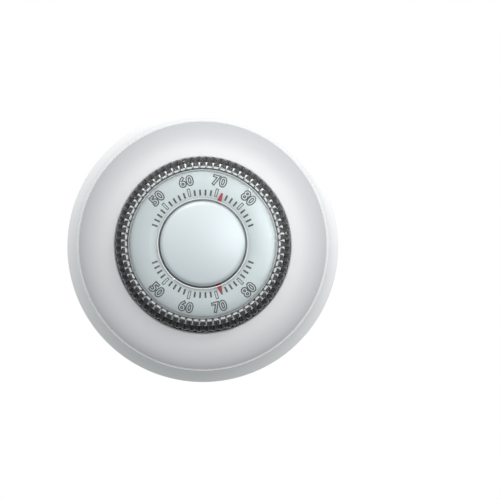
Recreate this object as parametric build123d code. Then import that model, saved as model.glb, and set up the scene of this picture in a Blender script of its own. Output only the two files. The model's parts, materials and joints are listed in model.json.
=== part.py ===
from build123d import *
import os
from math import acos, atan2, cos, degrees, hypot, radians, sin

# A round, dial-operated wall thermostat as an assembly of loose pieces.
#
# Every piece is drawn in the dial's own frame: the dial axis is Z, with depth 0 at the wall and growing
# towards the room, X is to the right and Y is up as seen from the room. save() turns that into the part's
# frame, where +Z is up, the wall is the plane Y = 0 and the room is on the -Y side. Lengths are in mm and
# angles in degrees, counted anticlockwise from +X as seen from the room. A piece that spans a depth takes
# its back and front depth as the last two arguments.

# --- overall sizes ---
body_diameter = 82.55
body_depth = 38.1
body_radius = body_diameter / 2

# --- clearances ---
running_gap = 0.1          # a shaft in its bore, per side
seat_gap = 0.2             # between a moving piece and the face that carries it
cap_gap = 0.5              # between the fixed cap and the turning window
ring_gap = 0.5             # between the knob and the cover ring's opening
screw_gap = 0.1            # a screw shank in its hole, per side
coil_gap = 0.28            # inside a coil's first turn

# --- temperature scale ---
scale_low = 42.0           # degrees Fahrenheit at the low stop
scale_high = 88.0
scale_rest = 72.0          # where both pointers stand
scale_middle = (scale_low + scale_high) / 2
degrees_per_step = 3.0     # dial turn for one degree Fahrenheit
rest_turn = (scale_rest - scale_middle) * degrees_per_step
turn_down = (scale_low - scale_rest) * degrees_per_step
turn_up = (scale_high - scale_rest) * degrees_per_step
set_pointer_angle = 90 - rest_turn
room_pointer_angle = -90 + rest_turn

# --- base case ---
case_wall_gap = 0.6        # the flared skirt stops short of the wall
case_edge = 0.8            # plain land at the skirt's widest edge
case_skirt_wall = 2.0
case_floor_back = 7.4
case_floor_thickness = 2.0
floor_front = case_floor_back + case_floor_thickness
case_top = 15.5            # ledge under the cover ring
case_top_radius = body_radius - 3.525
case_flare_sag = 0.75      # how far the skirt bows in from a straight cone
case_bore = case_top_radius - 1.85          # above the step, where the cover ring's spigot enters
case_step_radius = case_bore - 2.2
case_step_depth = floor_front + 2.6
case_top_round = 0.3

# --- wall plate ---
plate_radius = body_radius - 5.075
plate_floor = 2.4
plate_rim_wall = 1.6
plate_rim_depth = case_floor_back - 1.9
wire_opening_width = 22.0
wire_opening_height = 15.0
wire_opening_corner = 4.0
mount_slot_spacing = 54.0
mount_slot_radius = 2.2
mount_slot_length = 7.0
strap_thickness = 0.8
plate_strap_front = plate_floor + strap_thickness
terminal_x = 11.0
terminal_y = -20.0
terminal_strap_width = 6.4
terminal_screw_radius = 1.45
terminal_head_radius = terminal_screw_radius + 1.55
terminal_head_height = 1.4
terminal_washer_side = 2 * terminal_head_radius + 0.6
terminal_washer_thickness = 0.8
blind_hole_floor = 0.6     # plastic left behind a blind hole in the wall plate

# --- captive screws that clamp the body to the wall plate ---
captive_radius = case_step_radius - 2.5
captive_angles = (90.0, 210.0, 330.0)
captive_shank_radius = 1.4
captive_head_radius = captive_shank_radius + 1.0
captive_head_height = 1.8
captive_shank_length = 5.6
insert_post_radius = captive_shank_radius + 1.6
insert_spigot_radius = captive_shank_radius + 0.8

# --- base straps ---
base_strap_thickness = 0.7
base_strap_width = 4.0
base_strap_back = case_floor_back - base_strap_thickness

# --- clear dial ---
dial_radius = 26.0
dial_wall = 2.0
dial_bore = dial_radius - dial_wall
dial_front = body_depth - 2.0
dial_shoulder = dial_front - 2.4            # where the side wall turns into the front
dial_window_radius = dial_radius - 2.4      # where the shoulder meets the flat window
dial_window_thickness = 1.8
window_back = dial_front - dial_window_thickness
dial_flange_radius = dial_radius + 1.4
dial_flange_thickness = 1.6
flange_back = floor_front + seat_gap
flange_front = flange_back + dial_flange_thickness
flute_count = 72
flute_radius = 0.62
flute_centre = dial_radius + 0.28
flute_back = 13.0
stop_tab_width = 6.0       # degrees
stop_tab_reach = 0.8
stop_margin = 0.6          # degrees left at each end of the stop slot

# --- track and retainer ring that hold the dial ---
track_radius = dial_flange_radius + 3.1
track_bore = dial_flange_radius + running_gap
track_front = flange_front + seat_gap
retainer_inner = dial_radius + 0.5
retainer_thickness = 0.8
retainer_front = track_front + retainer_thickness
retainer_screw_circle = track_radius - 1.25
retainer_screw_angles = (30.0, 150.0, 270.0)
retainer_shank_radius = 0.8
retainer_head_radius = 1.25
retainer_head_height = 0.9

# --- cover ring ---
opening_radius = dial_radius + ring_gap
cover_radius = case_top_radius - 0.55
cover_edge_back = case_top + 0.4
cover_edge_front = case_top + 1.2
cover_front = case_top + 2.9
cover_flat_radius = cover_radius - 4.8      # the front is almost flat out to here
cover_wall = 1.5
cover_lip_back = case_top - 0.5
cover_lip_round = 0.45
cover_spigot_wall = 1.8
cover_spigot_gap = 0.2
cover_bottom = case_step_depth + seat_gap
spigot_radius = case_bore - cover_spigot_gap

# --- scale cup and collar ---
cup_radius = dial_bore - 1.6
cup_wall = 0.6
cup_face = dial_front - 3.7                 # front of the scale at its centre and rim
cup_bulge = 0.6            # rise of the printed ring between them
cup_flat_radius = 12.4     # where the flat centre ends and the printed ring starts
cup_corner_radius = cup_radius - 0.7
cup_bore = cup_radius - cup_wall
cup_rim = floor_front + 4.8
collar_wall = 1.3
collar_gap = 0.1
collar_radius = cup_bore - collar_gap
collar_bore = collar_radius - collar_wall
collar_top = floor_front + 6.8
scale_post_circle = 10.5
scale_post_angles = (100.0, 190.0)
scale_post_radius = 1.6
scale_screw_radius = 0.7
scale_screw_head_radius = 1.4
scale_screw_head_height = 0.35
scale_screw_length = 6.0

# --- centre post and cap ---
post_neck_radius = 2.4
post_neck_back = cup_face - 7.4
post_radius = post_neck_radius + 1.0
post_front = cup_face + 1.0
post_bore = 1.3
cap_radius = 12.7
cap_back = cup_face + 1.55
cap_edge_front = body_depth - 1.5
cap_shell = 0.5
cap_round_start = (11.4, body_depth - 1.25)   # radius and depth where the crown meets the rounded edge
cap_round_end = body_depth - 2.3
cap_shell_back = body_depth - 2.7
cap_stem_length = 5.0
window_hole = cap_radius + cap_gap
post_screw_radius = 1.2
post_screw_length = 7.0
post_screw_head_radius = 2.4
post_screw_head_height = 1.1

# --- pointers and the thermometer's sleeve ---
pointer_thickness = 0.35
set_pointer_inner = window_hole + 0.15
set_pointer_outer = 16.0
set_pointer_root = 1.5
set_pointer_tip = 0.6
room_pointer_back = cup_face + 0.75
room_pointer_hub = 5.2
room_pointer_outer = 15.7
room_pointer_root = 1.6
room_pointer_taper = cap_radius + 0.2    # where the wedge begins, just clear of the cap
room_pointer_tip = 0.7
sleeve_bore = post_neck_radius + running_gap
sleeve_radius = sleeve_bore + 0.8
cup_hole_radius = sleeve_radius + 0.5

# --- bimetal coils: strip, first radius, growth per half turn, half turns, depths ---
strip_thickness = 0.34
room_coil_start = sleeve_radius + coil_gap + strip_thickness / 2
room_coil_growth = 0.5
room_coil_halves = 9
room_coil_back = cup_face - 5.8
room_coil_front = cup_face - 1.8
room_coil_turn = 160.0     # where the inner end lies
anchor_pin_radius = 0.6

# --- cam, lever and control coil ---
coil_axis_x = 12.0
coil_axis_y = 0.0
coil_axis = (coil_axis_x, coil_axis_y)
coil_axis_reach = hypot(coil_axis_x, coil_axis_y)
coil_pin_radius = 1.2
coil_pin_head_radius = coil_pin_radius + 1.0
coil_pin_head_height = 0.7
lever_length = 13.0
lever_width = 1.6
lever_back = floor_front + 1.8
lever_thickness = 1.4
lever_hub_radius = coil_pin_radius + 1.8
lever_hub_front = lever_back + 2.6
lever_arbor_radius = coil_pin_radius + 0.9
lever_reach_low = dial_bore - 1.5           # nose's distance from the dial axis at the low stop
lever_ratio = 0.075        # lever turn per dial turn
nose_gap = 0.15
cam_back = floor_front + 1.0
cam_front = cam_back + 3.0
cam_lead = 6.0             # degrees of cam beyond each stop
cam_points = 12
control_coil_start = lever_arbor_radius + 0.2 + strip_thickness / 2
control_coil_growth = 0.475
control_coil_halves = 10
control_coil_back = lever_hub_front + 0.8
control_coil_front = room_coil_back - 4.8
lever_arbor_front = control_coil_front + 0.8
coil_pin_front = lever_arbor_front + 1.4

# --- snap switch ---
arm_angle = -140.0         # direction of the contact arm, seen from the coil's axis
arm_thickness = 0.6
arm_length = 19.5
arm_back = control_coil_back + 0.8
arm_front = control_coil_front - 1.0
contact_place = 17.0       # distances along the arm
magnet_place = 13.2
contact_radius = 1.1
contact_thickness = 0.6
contact_gap = 0.55
armature_width = 3.4
armature_thickness = 0.5
magnet_width = 3.2
magnet_thickness = 1.7
magnet_gap = 0.6
bracket_thickness = 0.8
bracket_foot = 4.8
bracket_start = 11.0
bracket_end = 19.5
stop_pin_radius = 0.8
stop_pin_gap = 0.25
contact_screw_radius = 0.9
contact_screw_tail = 2.2
rivet_radius = 1.0
rivet_head_radius = 1.8
rivet_head_height = 0.6
arm_u = (cos(radians(arm_angle)), sin(radians(arm_angle)))
arm_v = (-arm_u[1], arm_u[0])

# --- lever spring: a leaf riveted to a post beside the lever ---
leaf_thickness = 0.3
leaf_width = 1.2
leaf_back = lever_back + 0.1
leaf_post_radius = 1.3
leaf_post_x = 2.0
leaf_post_y = 14.6
leaf_touch = 8.0           # where the leaf meets the lever, from the coil's axis
leaf_gap = 0.1

# --- heat anticipator ---
card_inner = case_step_radius - 2.3
card_wall = 0.5
card_front = floor_front + 4.4
card_start = 227.0
card_end = 293.0
winding_wall = 0.3
winding_back = floor_front + 0.5
winding_front = card_front - 1.0
winding_margin = 2.0
slider_angle = 262.0
slider_width = 4.4         # degrees
slider_front = card_front + 1.1
slider_reach = 0.6
label_width = 0.8
label_thickness = 0.15


# --- helpers ---
def polar(radius, angle, centre=(0.0, 0.0)):
    """Point at a radius and an angle in degrees round a centre."""
    return (centre[0] + radius * cos(radians(angle)), centre[1] + radius * sin(radians(angle)))


def disc(radius, back, front, at=(0.0, 0.0)):
    """Solid cylinder along the dial axis."""
    column = Cylinder(radius, front - back, align=(Align.CENTER, Align.CENTER, Align.MIN))
    return Pos(at[0], at[1], back) * column


def tube(outer, inner, back, front, at=(0.0, 0.0)):
    """Ring or sleeve along the dial axis."""
    return disc(outer, back, front, at) - disc(inner, back, front, at)


def block(width, height, back, front, at=(0.0, 0.0), turn=0.0, corner=0.0):
    """Plate with its width along `turn` degrees."""
    outline = RectangleRounded(width, height, corner) if corner else Rectangle(width, height)
    return Pos(at[0], at[1], back) * Rot(0, 0, turn) * extrude(outline, front - back)


def link(start, end, width, back, front):
    """Flat strip with round ends between two points."""
    length = hypot(end[0] - start[0], end[1] - start[1])
    turn = degrees(atan2(end[1] - start[1], end[0] - start[0]))
    middle = ((start[0] + end[0]) / 2, (start[1] + end[1]) / 2)
    outline = SlotCenterToCenter(length, width)
    return Pos(middle[0], middle[1], back) * Rot(0, 0, turn) * extrude(outline, front - back)


def arc_plate(inner, outer, start, end, back, front):
    """Piece of a ring between two angles."""
    middle = (start + end) / 2
    outer_arc = ThreePointArc(polar(outer, start), polar(outer, middle), polar(outer, end))
    inner_arc = ThreePointArc(polar(inner, end), polar(inner, middle), polar(inner, start))
    sides = [Line(outer_arc @ 1, inner_arc @ 0), Line(inner_arc @ 1, outer_arc @ 0)]
    outline = make_face([outer_arc, sides[0], inner_arc, sides[1]])
    return Pos(0, 0, back) * extrude(outline, front - back)


def turned(lines):
    """Solid of revolution from joined lines drawn as (radius, depth)."""
    section = Plane.XZ * make_face(lines)
    return revolve(section, axis=Axis.Z)


def open_path(points):
    """Straight lines through points, as a list."""
    return [Line(a, b) for a, b in zip(points, points[1:])]


def screw(head_radius, head_height, shank_radius, shank_length, seat, at=(0.0, 0.0), slot=0.45):
    """Pan-head screw whose head sits on depth `seat` and faces the room."""
    head = disc(head_radius, seat, seat + head_height, at)
    slot_depth = head_height * 0.5
    cut = block(2.2 * head_radius, slot, seat + head_height - slot_depth, seat + head_height, at, turn=25)
    return head - cut + disc(shank_radius, seat - shank_length, seat, at)


def spiral(start_radius, growth, halves, back, front, turn, at=(0.0, 0.0)):
    """Flat strip wound into a spiral of half circles, whose radius grows by `growth` each half turn."""
    half = strip_thickness / 2
    outer, inner = [], []
    for k in range(halves):
        centre = growth * (k % 2)
        radius = start_radius + k * growth
        first = 0 if k % 2 == 0 else 180
        for side, edges in ((half, outer), (-half, inner)):
            r = radius + side
            places = [polar(r, first + a, (centre, 0)) for a in (0, 90, 180)]
            edges.append(ThreePointArc(*places))
    ends = [Line(inner[0] @ 0, outer[0] @ 0), Line(inner[-1] @ 1, outer[-1] @ 1)]
    outline = make_face(outer + inner + ends)
    return Pos(at[0], at[1], back) * Rot(0, 0, turn) * extrude(outline, front - back)


def on_arm(along, across):
    """Point beside the contact arm: distance from the coil's axis, then across it."""
    return (
        coil_axis[0] + along * arm_u[0] + across * arm_v[0],
        coil_axis[1] + along * arm_u[1] + across * arm_v[1],
    )


def across_rod(radius, along, start, end, depth):
    """Rod that lies across the contact arm, between two offsets from it."""
    place = on_arm(along, start)
    rod = Cylinder(radius, end - start, align=(Align.CENTER, Align.CENTER, Align.MIN))
    facing = Plane(origin=(place[0], place[1], depth), z_dir=(arm_v[0], arm_v[1], 0))
    return facing * rod


def beside_arm(along, width, start, end, back, front):
    """Block beside the contact arm, between two offsets from it."""
    return block(width, end - start, back, front, on_arm(along, (start + end) / 2), turn=arm_angle)


def captive_places():
    return [polar(captive_radius, angle) for angle in captive_angles]


def lever_angle(dial_turn):
    """Direction of the lever, seen from the coil's axis, when the dial is turned clockwise by dial_turn."""
    reach_cosine = (lever_reach_low**2 - coil_axis_reach**2 - lever_length**2) / (
        2 * coil_axis_reach * lever_length
    )
    at_low_stop = degrees(acos(reach_cosine))
    return at_low_stop + lever_ratio * (dial_turn - turn_down)


def nose_place(dial_turn):
    """Centre of the lever's round nose."""
    return polar(lever_length, lever_angle(dial_turn), coil_axis)


# --- wall side ---
def wall_plate():
    plate = disc(plate_radius, 0, plate_floor)
    plate += tube(plate_radius, plate_radius - plate_rim_wall, 0, plate_rim_depth)
    top_pad = captive_places()[0]
    plate += disc(insert_post_radius + 1, plate_floor, plate_strap_front, top_pad)
    plate -= block(
        wire_opening_width, wire_opening_height, 0, plate_floor, corner=wire_opening_corner
    )
    for side in (-1, 1):
        slot = SlotOverall(mount_slot_length, 2 * mount_slot_radius)
        plate -= Pos(side * mount_slot_spacing / 2, 0, 0) * extrude(slot, plate_floor)
        place = (side * terminal_x, terminal_y)
        plate -= disc(terminal_screw_radius, blind_hole_floor, plate_floor, place)
    for place in captive_places():
        plate -= disc(insert_spigot_radius, blind_hole_floor, plate_strap_front, place)
    return plate


def terminal_straps():
    straps = []
    for side, post in ((-1, captive_places()[1]), (1, captive_places()[2])):
        screw_place = (side * terminal_x, terminal_y)
        strap = link(screw_place, post, terminal_strap_width, plate_floor, plate_strap_front)
        strap -= disc(terminal_screw_radius + screw_gap, plate_floor, plate_strap_front, screw_place)
        strap -= disc(insert_spigot_radius, plate_floor, plate_strap_front, post)
        straps.append(strap)
    return straps


def terminal_washers():
    washers = []
    for side in (-1, 1):
        place = (side * terminal_x, terminal_y)
        front = plate_strap_front + terminal_washer_thickness
        washer = block(terminal_washer_side, terminal_washer_side, plate_strap_front, front, place, 12)
        washers.append(washer - disc(terminal_screw_radius + screw_gap, plate_strap_front, front, place))
    return washers


def terminal_screws():
    seat = plate_strap_front + terminal_washer_thickness
    length = seat - blind_hole_floor
    return [
        screw(
            terminal_head_radius,
            terminal_head_height,
            terminal_screw_radius,
            length,
            seat,
            (side * terminal_x, terminal_y),
            slot=0.8,
        )
        for side in (-1, 1)
    ]


def insert_posts():
    posts = []
    for place in captive_places():
        post_front_depth = base_strap_back if place != captive_places()[0] else case_floor_back
        post = disc(insert_post_radius, plate_strap_front, post_front_depth, place)
        post += disc(insert_spigot_radius, blind_hole_floor, plate_strap_front, place)
        screw_end = floor_front - captive_shank_length
        posts.append(post - disc(captive_shank_radius, screw_end, post_front_depth, place))
    return posts


# --- base case and what is fixed to it ---
def base_case():
    edge_front = case_wall_gap + case_edge
    middle_radius = (body_radius + case_top_radius) / 2 - case_flare_sag
    middle_depth = (edge_front + case_top) / 2
    flare = ThreePointArc(
        (body_radius, edge_front), (middle_radius, middle_depth), (case_top_radius, case_top)
    )
    inner_edge = (body_radius - case_skirt_wall, case_wall_gap)
    inner_top = (plate_radius + 1.1, case_floor_back)
    outline = [flare] + open_path(
        [
            (case_top_radius, case_top),
            (case_bore, case_top),
            (case_bore, case_step_depth),
            (case_step_radius, case_step_depth),
            (case_step_radius, floor_front),
            (0, floor_front),
            (0, case_floor_back),
            inner_top,
            inner_edge,
            (body_radius, case_wall_gap),
            (body_radius, edge_front),
        ]
    )
    case = turned(outline)
    top_edge = case.edges().filter_by(GeomType.CIRCLE).filter_by_position(Axis.Z, case_top, case_top)
    case = fillet(top_edge.sort_by(SortBy.RADIUS)[-1], case_top_round)
    # Collar that seats the scale cup, with a window for the lever.
    case += tube(collar_radius, collar_bore, floor_front, collar_top)
    case += tube(cup_radius - collar_gap, collar_bore, floor_front, cup_rim)
    window_middle = (window_angles()[0] + window_angles()[1]) / 2
    window_width = window_angles()[1] - window_angles()[0]
    case -= arc_plate(
        collar_bore - 1,
        cup_radius + 1,
        window_middle - window_width / 2,
        window_middle + window_width / 2,
        lever_back - 2 * seat_gap,
        lever_back + lever_thickness + 2 * seat_gap,
    )
    # Track round the dial's flange, with a slot that stops its tab at both ends.
    case += tube(track_radius, track_bore, floor_front, track_front)
    half_tab = stop_tab_width / 2 + stop_margin
    case -= arc_plate(
        track_bore - 0.5,
        dial_flange_radius + stop_tab_reach + running_gap,
        set_pointer_angle - turn_up - half_tab,
        set_pointer_angle - turn_down + half_tab,
        floor_front,
        track_front,
    )
    for place in captive_places():
        case -= disc(captive_head_radius + 2 * screw_gap, floor_front, track_front, place)
        case -= disc(captive_shank_radius + screw_gap, case_floor_back, floor_front, place)
    for angle in retainer_screw_angles:
        place = polar(retainer_screw_circle, angle)
        case -= disc(retainer_shank_radius, case_floor_back + 0.8, track_front, place)
    for place in scale_post_places() + [bracket_rivet_place(), coil_axis, (0.0, 0.0), leaf_post_place()]:
        case -= disc(rivet_radius, case_floor_back, floor_front, place)
    case -= disc(post_screw_radius, case_floor_back, floor_front)
    case -= disc(coil_pin_radius, case_floor_back, floor_front, coil_axis)
    case -= disc(stop_pin_radius, floor_front - 1, floor_front, stop_pin_place())
    return case


def window_angles():
    """First and last angle of the collar's window, with room for the lever's whole swing."""
    places = [nose_place(turn) for turn in (turn_down, turn_up)]
    angles = sorted(degrees(atan2(y, x)) for x, y in places)
    room = degrees((lever_width / 2 + 0.6) / collar_bore)
    along_lever = 3.5      # the lever crosses the collar at a slant
    return (angles[0] - room - along_lever, angles[1] + room)


def captive_screws():
    return [
        screw(
            captive_head_radius,
            captive_head_height,
            captive_shank_radius,
            captive_shank_length,
            floor_front,
            place,
            slot=0.7,
        )
        for place in captive_places()
    ]


def retainer_ring():
    ring = tube(track_radius, retainer_inner, track_front, retainer_front)
    for place in captive_places():
        ring -= disc(captive_head_radius + 2 * screw_gap, track_front, retainer_front, place)
    for angle in retainer_screw_angles:
        place = polar(retainer_screw_circle, angle)
        ring -= disc(retainer_shank_radius + screw_gap / 2, track_front, retainer_front, place)
    return ring


def retainer_screws():
    length = retainer_front - case_floor_back - 1
    return [
        screw(
            retainer_head_radius,
            retainer_head_height,
            retainer_shank_radius,
            length,
            retainer_front,
            polar(retainer_screw_circle, angle),
        )
        for angle in retainer_screw_angles
    ]


def bracket_rivet_place():
    wall = magnet_face_offset() + magnet_thickness + bracket_thickness
    return on_arm(15.2, wall + rivet_head_radius + screw_gap)


def leaf_post_place():
    return (leaf_post_x, leaf_post_y)


def base_strap(post, inner_end, hole_radius):
    strap = link(post, inner_end, base_strap_width, base_strap_back, case_floor_back)
    strap += disc(insert_post_radius, base_strap_back, case_floor_back, post)
    strap -= disc(captive_shank_radius + screw_gap, base_strap_back, case_floor_back, post)
    return strap - disc(hole_radius, base_strap_back, case_floor_back, inner_end)


def supply_strap():
    return base_strap(captive_places()[1], bracket_rivet_place(), rivet_radius)


def load_strap():
    return base_strap(captive_places()[2], coil_axis, coil_pin_radius)


# --- the dial that is turned by hand ---
def clear_dial():
    shoulder = SagittaArc(
        (dial_radius, dial_shoulder), (dial_window_radius, dial_front), 0.45
    )
    inner_shoulder = (dial_window_radius - 0.9, window_back)
    outline = [shoulder] + open_path(
        [
            (dial_window_radius, dial_front),
            (window_hole, dial_front),
            (window_hole, window_back),
            inner_shoulder,
            (dial_bore, dial_shoulder - 0.6),
            (dial_bore, flange_back),
            (dial_flange_radius, flange_back),
            (dial_flange_radius, flange_front),
            (dial_radius, flange_front),
            (dial_radius, dial_shoulder),
        ]
    )
    dial = turned(outline)
    flutes = PolarLocations(flute_centre, flute_count) * Circle(flute_radius)
    dial -= Pos(0, 0, flute_back) * extrude(Sketch() + flutes, dial_front - flute_back)
    half_tab = stop_tab_width / 2
    dial += arc_plate(
        dial_flange_radius - 0.5,
        dial_flange_radius + stop_tab_reach,
        set_pointer_angle - half_tab,
        set_pointer_angle + half_tab,
        flange_back,
        flange_front,
    )
    return dial


def pointer_wedge(angle, inner, outer, root, tip, back, front):
    """Flat pointer that narrows outwards, along one direction from the dial axis."""
    corners = [(inner, -root / 2), (outer, -tip / 2), (outer, tip / 2), (inner, root / 2)]
    outline = make_face(Polyline(*corners, close=True))
    return Pos(0, 0, back) * Rot(0, 0, angle) * extrude(outline, front - back)


def set_pointer():
    back = window_back - pointer_thickness
    return pointer_wedge(
        set_pointer_angle,
        set_pointer_inner,
        set_pointer_outer,
        set_pointer_root,
        set_pointer_tip,
        back,
        window_back,
    )


def cam_segment():
    """Arc inside the dial's skirt whose inner edge pushes the lever's nose as the dial turns."""
    turns = [
        turn_down - cam_lead + k * (turn_up - turn_down + 2 * cam_lead) / (cam_points - 1)
        for k in range(cam_points)
    ]
    edge_points = []
    for dial_turn in turns:
        x, y = nose_place(dial_turn)
        reach = hypot(x, y) + lever_width / 2 + nose_gap
        edge_points.append(polar(reach, degrees(atan2(y, x)) + dial_turn))
    edge = Spline(*edge_points)
    first, last = (degrees(atan2(p[1], p[0])) for p in (edge_points[0], edge_points[-1]))
    outer = ThreePointArc(
        polar(dial_bore, last), polar(dial_bore, (first + last) / 2), polar(dial_bore, first)
    )
    outline = make_face([edge, Line(edge @ 1, outer @ 0), outer, Line(outer @ 1, edge @ 0)])
    return Pos(0, 0, cam_back) * extrude(outline, cam_front - cam_back)


# --- scale and cap, which stay still ---
def scale_cup():
    """Shallow metal cup: a flat centre, a raised ring that carries the printed scales, and a rim."""

    def raised_ring(offset):
        inner = (cup_flat_radius, cup_face - offset)
        crest = ((cup_flat_radius + cup_corner_radius) / 2, cup_face + cup_bulge - offset)
        return inner, ThreePointArc(inner, crest, (cup_corner_radius - offset / 2, cup_face - offset))

    front_start, front = raised_ring(0)
    back_start, back = raised_ring(cup_wall)
    outline = [
        Line((cup_hole_radius, cup_face), front_start),
        front,
        *open_path([front @ 1, (cup_radius, cup_face - 0.7), (cup_radius, cup_rim)]),
        *open_path([(cup_radius, cup_rim), (cup_bore, cup_rim), (cup_bore, cup_face - 1.0)]),
        Line((cup_bore, cup_face - 1.0), back @ 1),
        back,
        *open_path([back_start, (cup_hole_radius, cup_face - cup_wall), (cup_hole_radius, cup_face)]),
    ]
    cup = turned(outline)
    for place in scale_post_places():
        cup -= disc(scale_screw_radius + screw_gap, cup_face - cup_wall, cup_face, place)
    return cup


def scale_post_places():
    return [polar(scale_post_circle, angle) for angle in scale_post_angles]


def scale_posts():
    """Pillars from the floor to the scale's back; their feet are riveted through the floor."""
    posts = []
    for place in scale_post_places():
        post = disc(scale_post_radius, floor_front, cup_face - cup_wall, place)
        post += disc(rivet_radius, case_floor_back, floor_front, place)
        hole_back = cup_face - scale_screw_length
        posts.append(post - disc(scale_screw_radius, hole_back, cup_face - cup_wall, place))
    return posts


def scale_screws():
    return [
        screw(
            scale_screw_head_radius,
            scale_screw_head_height,
            scale_screw_radius,
            scale_screw_length,
            cup_face,
            place,
            slot=0.35,
        )
        for place in scale_post_places()
    ]


def centre_post():
    post = disc(post_radius, floor_front, post_neck_back)
    post += disc(post_neck_radius, post_neck_back, post_front)
    post -= disc(post_bore, post_front - cap_stem_length - 0.6, post_front)
    post -= disc(post_screw_radius, floor_front, floor_front + post_screw_length)
    return post


def post_screw():
    head_front = case_floor_back
    head = disc(post_screw_head_radius, head_front - post_screw_head_height, head_front)
    slot = block(6, 0.7, head_front - post_screw_head_height, head_front - 0.6)
    tip = floor_front + post_screw_length - 0.5
    return head - slot + disc(post_screw_radius, head_front, tip)


def cap_core():
    core = disc(cap_radius - cap_shell, cap_back, cap_edge_front - cap_shell)
    return core + disc(post_bore, post_front - cap_stem_length, cap_back)


def centre_cap():
    """Thin crowned metal cap over the plastic core, with a rounded edge."""
    rim = cap_edge_front
    dome = TangentArc((0, body_depth), cap_round_start, tangent=(1, 0))
    edge = TangentArc(cap_round_start, (cap_radius, cap_round_end), tangent=dome % 1)
    outline = [dome, edge] + open_path(
        [
            (cap_radius, cap_round_end),
            (cap_radius, cap_shell_back),
            (cap_radius - cap_shell, cap_shell_back),
            (cap_radius - cap_shell, rim - cap_shell),
            (0, rim - cap_shell),
            (0, body_depth),
        ]
    )
    return turned(outline)


# --- room thermometer ---
def room_pointer():
    front = room_pointer_back + pointer_thickness
    hub = disc(room_pointer_hub, room_pointer_back, front)
    inner, taper, outer = 0.6 * room_pointer_hub, room_pointer_taper, room_pointer_outer
    root, tip = room_pointer_root / 2, room_pointer_tip / 2
    corners = [(inner, -root), (taper, -root), (outer, -tip), (outer, tip), (taper, root), (inner, root)]
    outline = make_face(Polyline(*corners, close=True))
    arm = Pos(0, 0, room_pointer_back) * Rot(0, 0, room_pointer_angle) * extrude(outline, pointer_thickness)
    return hub + arm - disc(sleeve_bore, room_pointer_back, front)


def room_sleeve():
    return tube(sleeve_radius, sleeve_bore, post_neck_back + seat_gap, room_pointer_back)


def room_coil():
    return spiral(
        room_coil_start,
        room_coil_growth,
        room_coil_halves,
        room_coil_back,
        room_coil_front,
        room_coil_turn,
    )


def anchor_pin():
    """Pin on the scale's back that holds the outer end of the thermometer coil."""
    end_radius = room_coil_start + (room_coil_halves - 1) * room_coil_growth + strip_thickness / 2
    place = polar(end_radius + anchor_pin_radius, room_coil_turn + 180)
    return disc(anchor_pin_radius, room_coil_back, cup_face - cup_wall, place)


# --- control mechanism ---
def coil_pin():
    pin = disc(coil_pin_radius, base_strap_back, coil_pin_front, coil_axis)
    return pin + disc(
        coil_pin_head_radius, base_strap_back - coil_pin_head_height, base_strap_back, coil_axis
    )


def cam_lever():
    front = lever_back + lever_thickness
    lever = disc(lever_hub_radius, floor_front + seat_gap, lever_hub_front, coil_axis)
    lever += disc(lever_arbor_radius, lever_hub_front, lever_arbor_front, coil_axis)
    lever += link(coil_axis, nose_place(0), lever_width, lever_back, front)
    bore = coil_pin_radius + running_gap
    return lever - disc(bore, floor_front, lever_arbor_front, coil_axis)


def control_coil():
    return spiral(
        control_coil_start,
        control_coil_growth,
        control_coil_halves,
        control_coil_back,
        control_coil_front,
        arm_angle,
        coil_axis,
    )


def contact_arm():
    """Stiff strip riveted to the outer end of the control coil."""
    start = control_coil_start + control_coil_halves * control_coil_growth + strip_thickness / 2
    half = arm_thickness / 2
    arm = beside_arm((start + arm_length) / 2, arm_length - start, -half, half, arm_back, arm_front)
    lap = 2.6              # the strip turns along the coil's last half turn
    return arm + beside_arm(start + half, arm_thickness, -lap, half, arm_back, arm_front)


def arm_middle():
    return (arm_back + arm_front) / 2


def moving_contact():
    half = arm_thickness / 2
    return across_rod(contact_radius, contact_place, half, half + contact_thickness, arm_middle())


def armature():
    half = arm_thickness / 2
    return beside_arm(
        magnet_place, armature_width, half, half + armature_thickness, arm_back + 0.3, arm_front - 0.3
    )


def magnet_face_offset():
    return arm_thickness / 2 + armature_thickness + magnet_gap


def magnet():
    face = magnet_face_offset()
    return beside_arm(
        magnet_place, magnet_width, face, face + magnet_thickness, arm_back + 0.5, arm_front - 0.5
    )


def contact_bracket():
    """Steel angle that carries the magnet and the fixed contact."""
    start = magnet_face_offset() + magnet_thickness
    middle = (bracket_start + bracket_end) / 2
    length = bracket_end - bracket_start
    wall = beside_arm(middle, length, start, start + bracket_thickness, floor_front, arm_front + 0.6)
    foot = beside_arm(
        middle, length, start, start + bracket_foot, floor_front, floor_front + bracket_thickness
    )
    bracket = wall + foot
    bracket -= disc(rivet_radius, floor_front, floor_front + bracket_thickness, bracket_rivet_place())
    return bracket - across_rod(
        contact_screw_radius, contact_place, start, start + bracket_thickness, arm_middle()
    )


def fixed_contact():
    """Contact face on an adjusting screw that goes through the bracket."""
    face = arm_thickness / 2 + contact_thickness + contact_gap
    wall = magnet_face_offset() + magnet_thickness
    button = across_rod(contact_radius, contact_place, face, face + contact_thickness, arm_middle())
    tail = wall + bracket_thickness + contact_screw_tail
    return button + across_rod(contact_screw_radius, contact_place, face, tail, arm_middle())


def bracket_rivet():
    place = bracket_rivet_place()
    front = floor_front + bracket_thickness
    rivet = disc(rivet_radius, base_strap_back, front, place)
    rivet += disc(rivet_head_radius, front, front + rivet_head_height, place)
    return rivet + disc(rivet_head_radius, base_strap_back - rivet_head_height, base_strap_back, place)


def stop_pin_place():
    offset = -(arm_thickness / 2 + stop_pin_gap + stop_pin_radius)
    return on_arm(contact_place, offset)


def stop_pin():
    return disc(stop_pin_radius, floor_front - 1, arm_front, stop_pin_place())


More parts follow.
